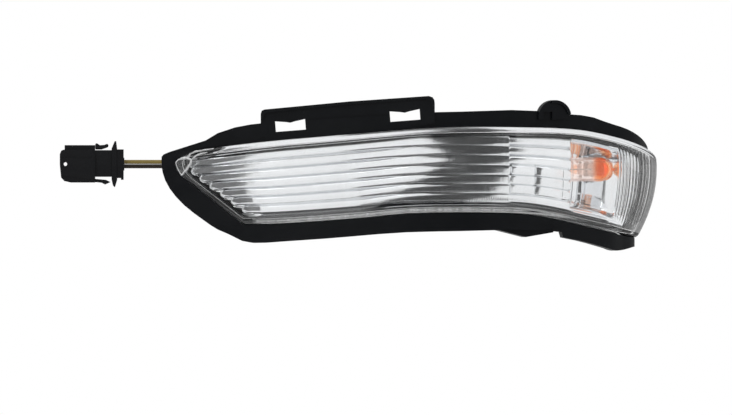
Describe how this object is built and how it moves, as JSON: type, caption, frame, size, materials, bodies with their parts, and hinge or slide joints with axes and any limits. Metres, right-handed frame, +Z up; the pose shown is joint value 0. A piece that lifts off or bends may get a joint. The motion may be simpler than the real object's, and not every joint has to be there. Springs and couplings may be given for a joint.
{
  "type": "side repeater lamp",
  "caption": "Side repeater lamp for a door mirror: slim wrap-round clear lens over a fluted reflector, black housing with fixing flange, amber bulb and a short lead to a plug.",
  "frame": {"origin": "middle of the top flange's rear face, between the two fixing windows; the flange's rear face is the plane Y = 0", "axes": "+X runs outboard to the bulb and the wrapped end of the lens, +Y points back from the lens into the mirror, +Z is up"},
  "size_m": [0.2397, 0.0586, 0.0619],
  "materials": {
    "housing_black": "satin black moulded polypropylene with fine grain",
    "lens_clear": "clear polished acrylic",
    "reflector_metallised": "plastic with a bright vacuum-metallised face",
    "bulb_amber_glass": "amber glass",
    "filament_metal": "drawn wire",
    "lead_wire_metal": "drawn wire",
    "holder_black": "glass-filled nylon",
    "contact_brass": "rolled and stamped",
    "seal_rubber": "soft moulded",
    "membrane_white": "microporous sheet",
    "wire_olive": "soft insulation, low sheen",
    "wire_brown_black": "soft insulation, low sheen",
    "connector_black": "satin moulded nylon",
    "terminal_tin": "tinned and stamped"
  },
  "bodies": {
    "root": {"housing": "housing_black", "lens": "lens_clear", "reflector": "reflector_metallised", "bulb_envelope": "bulb_amber_glass", "bulb_filament": "filament_metal", "bulb_lead_signal": "lead_wire_metal", "bulb_lead_ground": "lead_wire_metal", "bulb_holder": "holder_black", "holder_contact_signal": "contact_brass", "holder_contact_ground": "contact_brass", "holder_seal": "seal_rubber", "vent_membrane": "membrane_white", "wire_signal": "wire_olive", "wire_ground": "wire_brown_black", "wire_grommet": "seal_rubber", "connector_housing": "connector_black", "connector_collar": "connector_black", "connector_lock": "connector_black", "terminal_signal": "terminal_tin", "terminal_ground": "terminal_tin"}
  },
  "joints": []
}
